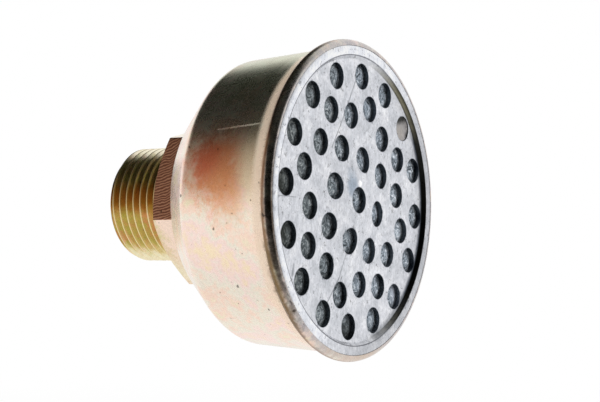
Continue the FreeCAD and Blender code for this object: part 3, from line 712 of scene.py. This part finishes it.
def felt_mesh(name, bulge, roughness):
    """The pad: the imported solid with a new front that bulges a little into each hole."""
    low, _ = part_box("filter_pad")
    work = bmesh.new()
    work.from_mesh(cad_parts["filter_pad"].data)
    bmesh.ops.remove_doubles(work, verts=work.verts, dist=SAME_PLACE)
    front = [f for f in work.faces if all(abs(v.co.y - low.y) < 1e-6 for v in f.verts)]
    bmesh.ops.delete(work, geom=front, context="FACES")
    bmesh.ops.delete(work, geom=[v for v in work.verts if not v.link_faces], context="VERTS")
    rim = sorted((v for v in work.verts if v.is_boundary), key=lambda v: math.atan2(v.co.x, v.co.z))
    points = [Vector((v.co.x, v.co.z)) / MM for v in rim]
    edges = [(i, (i + 1) % len(rim)) for i in range(len(rim))]
    limit = min(p.length for p in points) - 0.4
    centres = [Vector(flat_point(radius, PLATE_TURN + steps * HALF_PITCH + index * 360 / count))
               for radius, steps, count in HOLE_RINGS for index in range(count)] + [Vector((0.0, 0.0))]
    # Fine circles of points in every hole, and a coarse grid that keeps clear of them.
    for centre in centres:
        points.append(centre)
        for circle in range(1, FELT_CIRCLES + 1):
            radius = FELT_CIRCLE_STEP * circle
            count = max(8, int(math.tau * radius / FELT_POINT_STEP))
            around = [centre + Vector(flat_point(radius, -90 - 360 * j / count)) for j in range(count)]
            points += [point for point in around if point.length < limit]
    clear = FELT_CIRCLES * FELT_CIRCLE_STEP + 0.2
    points += [point for point in grid_points(FELT_GRID, GRID_STEPS, limit)
               if all((point - centre).length > clear for centre in centres)]
    placed, _, triangles, origins, _, _ = delaunay_2d_cdt(points, edges, [], 0, SAME_POINT)
    new = []
    for point, olds in zip(placed, origins):
        if olds and min(olds) < len(rim):
            new.append(rim[min(olds)])
            continue
        share = min((point - centre).length for centre in centres) / (HOLE_R - 0.1)
        rise = bulge * max(0.0, 1 - share ** 2) + 0.75 * max(0.0, dome(point.length) - FACE)
        fine = noise.fractal(Vector((point.x, point.y, 3.7)) * 1.7, 0.8, 2.2, 3) * roughness
        rise += fine * min(1.0, max(0.0, 1.15 - share) * 4)
        new.append(work.verts.new((point.x * MM, low.y - rise * MM, point.y * MM)))
    for a, b, c in triangles:
        work.faces.new((new[a], new[b], new[c]))
    bmesh.ops.recalc_face_normals(work, faces=work.faces)
    mesh = bpy.data.meshes.new(name)
    work.to_mesh(mesh)
    work.free()
    return mesh


# Stage

def unlit_share(tree, way, direction, within, beyond):
    """How far a direction lies in an unlit part of the room, from 0 to 1."""
    towards = vectors(tree, "DOT_PRODUCT", way, Vector(direction).normalized())
    return eased(tree, towards, math.cos(math.radians(beyond)), math.cos(math.radians(within)))


def build_world(scene):
    """White behind the object and on both sides. Metal mirrors that too, and the unlit room above the object
    and behind the camera, with a warm dusk on the left between them."""
    world = bpy.data.worlds.new("studio")
    scene.world = world
    world.use_nodes = True
    tree = world.node_tree
    tree.nodes.clear()
    way = add_node(tree, "ShaderNodeTexCoord").outputs["Generated"]
    part = parts_of(tree, way)
    dark = largest(tree, [unlit_share(tree, way, *lobe) for lobe in UNLIT])
    there = maths(tree, "MULTIPLY", eased(tree, part["X"], -0.05, -0.4), eased(tree, part["Y"], 0.15, 0.4))
    dusk = colour_ramp(tree, part["Z"], (0.0, "#EFE8E2"), (0.14, "#D0C4BA"), (0.30, "#B8A99E"),
                       (0.46, "#94867A"), (0.54, "#6E6259"), (0.60, "#4C443B"), (0.65, "#322E26"),
                       (0.74, UNLIT_COLOUR))
    mirrored = mixed(tree, dark, mixed(tree, there, WHITE, dusk), UNLIT_COLOUR)
    rays = add_node(tree, "ShaderNodeLightPath").outputs
    glossy = maths(tree, "MAXIMUM", rays["Is Glossy Ray"], rays["Is Transmission Ray"])
    seen = mixed(tree, rays["Is Camera Ray"], mixed(tree, glossy, "#D8D8D8", mirrored), WHITE)
    background = add_node(tree, "ShaderNodeBackground", {"Color": seen})
    add_node(tree, "ShaderNodeOutputWorld", {"Surface": background.outputs["Background"]})


def build_floor(depth):
    """A white floor that keeps the object's shadow and runs out into the background."""
    material, tree, place = new_material("white_card")
    far = mapped(tree, vectors(tree, "LENGTH", place), 0.1, 0.4, 0.75, 1.0)
    rays = add_node(tree, "ShaderNodeLightPath").outputs
    seen = largest(tree, [rays[f"Is {kind} Ray"] for kind in ("Camera", "Glossy", "Transmission")])
    behind = unlit_share(tree, vectors(tree, "NORMALIZE", place), *BEHIND_CAMERA)
    shown = mixed(tree, maths(tree, "MULTIPLY", behind, rays["Is Glossy Ray"]), WHITE, UNLIT_COLOUR)
    card = add_node(tree, "ShaderNodeBsdfDiffuse", {"Color": linear("#F4F4F4")}).outputs["BSDF"]
    bright = add_node(tree, "ShaderNodeEmission", {"Color": shown}).outputs["Emission"]
    share = maths(tree, "MULTIPLY", seen, far)
    surface = add_node(tree, "ShaderNodeMixShader", {0: share, 1: card, 2: bright})
    add_node(tree, "ShaderNodeOutputMaterial", {"Surface": surface.outputs["Shader"]})
    mesh = bpy.data.meshes.new("floor")
    corners = ((-1, -1), (1, -1), (1, 1), (-1, 1))
    mesh.from_pydata([(x * FLOOR_REACH, y * FLOOR_REACH, -depth) for x, y in corners], [], [(0, 1, 2, 3)])
    mesh.materials.append(material)
    add_object("floor", mesh)


def aim(thing, direction):
    """Turn a lamp or camera to look in a direction."""
    thing.rotation_mode = "QUATERNION"
    thing.rotation_quaternion = Vector(direction).to_track_quat("-Z", "Y")


def build_lamp():
    """One soft lamp above and behind the perforated face."""
    light = bpy.data.lights.new("soft_lamp", "AREA")
    light.shape, light.size, light.energy = "DISK", 0.5, 4.0
    lamp = add_object("soft_lamp", light)
    lamp.visible_glossy = False
    lamp.location = LAMP_PLACE
    aim(lamp, -lamp.location)


# Settings

class StageSettings(bpy.types.PropertyGroup):
    floor_depth: FloatProperty(name="Floor depth", description="Floor below the thread's axis", default=0.07,
                               unit="LENGTH")
    lens: FloatProperty(name="Lens", description="Focal length of the camera in millimetres", default=80.9)
    camera_place: FloatVectorProperty(name="Camera", description="Place of the camera",
                                      default=(-0.1885, -0.1434, -0.0074), subtype="TRANSLATION")
    camera_aim: FloatVectorProperty(name="Aim", description="Direction the camera looks in",
                                    default=(0.8391, 0.5430, 0.0333), subtype="DIRECTION")


class FittingSettings(bpy.types.PropertyGroup):
    pitch: FloatProperty(name="Pitch", description="Pitch of the thread", default=1.5 * MM, unit="LENGTH")
    depth: FloatProperty(name="Depth", description="Depth of the thread", default=0.92 * MM, unit="LENGTH")
    run_out: FloatProperty(name="Run-out", description="Length in which the groove fades at the hexagon",
                           default=0.5 * MM, unit="LENGTH")
    start: FloatProperty(name="Start", description="Place of a crest along the axis, at the top",
                         default=0.6 * MM, unit="LENGTH")
    rows: IntProperty(name="Rows", description="Rows of points in one pitch", default=24)


class PlateSettings(bpy.types.PropertyGroup):
    hole: FloatProperty(name="Hole", description="Diameter of each punched hole", default=2 * HOLE_R * MM,
                        unit="LENGTH")
    pip: FloatProperty(name="Pip", description="Height of the small pip near the centre", default=0.16 * MM,
                       unit="LENGTH")


class FeltSettings(bpy.types.PropertyGroup):
    bulge: FloatProperty(name="Bulge", description="How far the felt stands into each hole",
                         default=0.4 * MM, unit="LENGTH")
    roughness: FloatProperty(name="Roughness", description="Unevenness of the felt's front",
                             default=0.12 * MM, unit="LENGTH")


# Steps

class StageOperator(bpy.types.Operator):
    """Floor, light, background and camera"""
    bl_idname = "air_filter.stage"
    bl_label = "Stage"

    def execute(self, context):
        scene, settings = context.scene, context.scene.air_filter_stage
        scene.view_settings.view_transform = "Standard"
        build_world(scene)
        build_floor(settings.floor_depth)
        build_lamp()
        camera = add_object("camera", bpy.data.cameras.new("camera"))
        camera.location = settings.camera_place
        aim(camera, settings.camera_aim)
        camera.data.sensor_width, camera.data.lens = 36, settings.lens
        camera.data.clip_start, camera.data.clip_end = 0.01, 20
        scene.camera = camera
        return {"FINISHED"}


class FittingOperator(bpy.types.Operator):
    """Threaded hexagon fitting with a true helical thread"""
    bl_idname = "air_filter.fitting"
    bl_label = "Threaded fitting"

    def execute(self, context):
        settings = context.scene.air_filter_fitting
        steel = chromated_steel("chromated_turned_steel", FITTING_FILM, 0.22, FITTING_TONE_AND_REFLECTIONS,
                                milled=MILLED_FLAT)
        piece = add_object("fitting_with_thread",
                           fitting_mesh("fitting_with_thread", settings.rows, settings.pitch / MM))
        run_tree(piece, thread_tree("cut_thread"), {
            "Diameter": 2 * THREAD_R * MM, "Pitch": settings.pitch, "Depth": settings.depth,
            "Run-out": settings.run_out, "Start": settings.start, "Material": steel})
        outward(piece.data)
        finish_piece(piece, steel, smooth_angle=28)
        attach(piece, "root")
        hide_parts("threaded_fitting")
        return {"FINISHED"}


class CupOperator(bpy.types.Operator):
    """Deep-drawn cup"""
    bl_idname = "air_filter.cup"
    bl_label = "Filter cup"

    def execute(self, context):
        steel = chromated_steel("chromated_drawn_steel", CUP_FILM, 0.27, CUP_TONE_AND_PAINTED_LIGHT, scratched=CUP_MARKS)
        paint(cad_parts["filter_cup"], steel)
        return {"FINISHED"}


class PlateOperator(bpy.types.Operator):
    """Perforated plate and the slug left in one hole"""
    bl_idname = "air_filter.plate"
    bl_label = "Perforated plate"

    def execute(self, context):
        settings = context.scene.air_filter_plate
        zinc = galvanised_sheet("galvanised_sheet", PLATE_DOME_SHADE, punched=True)
        piece = add_object("punched_plate", blank_mesh("punched_plate", settings.pip / MM))
        values = {"Hole diameter": settings.hole, "Turn": math.radians(PLATE_TURN), "Face depth": FACE * MM,
                  "Stroke": PUNCH_STROKE * MM, "Material": zinc}
        for number, (radius, _, count) in enumerate(HOLE_RINGS, start=1):
            values[f"Radius {number}"], values[f"Holes {number}"] = radius * MM, count
        run_tree(piece, punch_tree("punch_holes"), values)
        outward(piece.data)
        finish_piece(piece, zinc, smooth_angle=40)
        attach(piece, "root")
        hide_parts("perforated_plate")
        paint(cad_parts["punch_slug"], galvanised_sheet("slug_grime_and_painted_shade", SLUG_GRIME_AND_SHADE))
        return {"FINISHED"}


class FeltOperator(bpy.types.Operator):
    """Felt pad, and the support screen behind it"""
    bl_idname = "air_filter.felt"
    bl_label = "Filter pad"

    def execute(self, context):
        settings = context.scene.air_filter_felt
        piece = add_object("filter_felt",
                           felt_mesh("filter_felt", settings.bulge / MM, settings.roughness / MM))
        finish_piece(piece, grey_felt("grey_needled_felt", FELT_TONE_AND_SHADE), smooth_angle=60)
        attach(piece, "root")
        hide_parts("filter_pad")
        paint(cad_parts["support_screen"], galvanised_sheet("galvanised_screen"))
        return {"FINISHED"}


class AirFilterPanel(bpy.types.Panel):
    """Steps that build the air filter"""
    bl_idname = "VIEW3D_PT_air_filter"
    bl_label = "Air filter"
    bl_space_type = "VIEW_3D"
    bl_region_type = "UI"
    bl_category = "Air filter"

    def draw(self, context):
        for operator in OPERATORS:
            self.layout.operator(operator.bl_idname)


GROUPS = {"air_filter_stage": StageSettings, "air_filter_fitting": FittingSettings,
          "air_filter_plate": PlateSettings, "air_filter_felt": FeltSettings}
OPERATORS = (StageOperator, FittingOperator, CupOperator, FeltOperator, PlateOperator)


def register():
    for item in (*GROUPS.values(), *OPERATORS, AirFilterPanel):
        bpy.utils.register_class(item)
    for name, group in GROUPS.items():
        setattr(bpy.types.Scene, name, PointerProperty(type=group))


def unregister():
    for name in GROUPS:
        delattr(bpy.types.Scene, name)
    for item in reversed((*GROUPS.values(), *OPERATORS, AirFilterPanel)):
        bpy.utils.unregister_class(item)


def main():
    register()
    bpy.ops.air_filter.stage()
    bpy.ops.air_filter.fitting()
    bpy.ops.air_filter.cup()
    bpy.ops.air_filter.felt()
    bpy.ops.air_filter.plate()


if __name__ == "__main__":
    main()
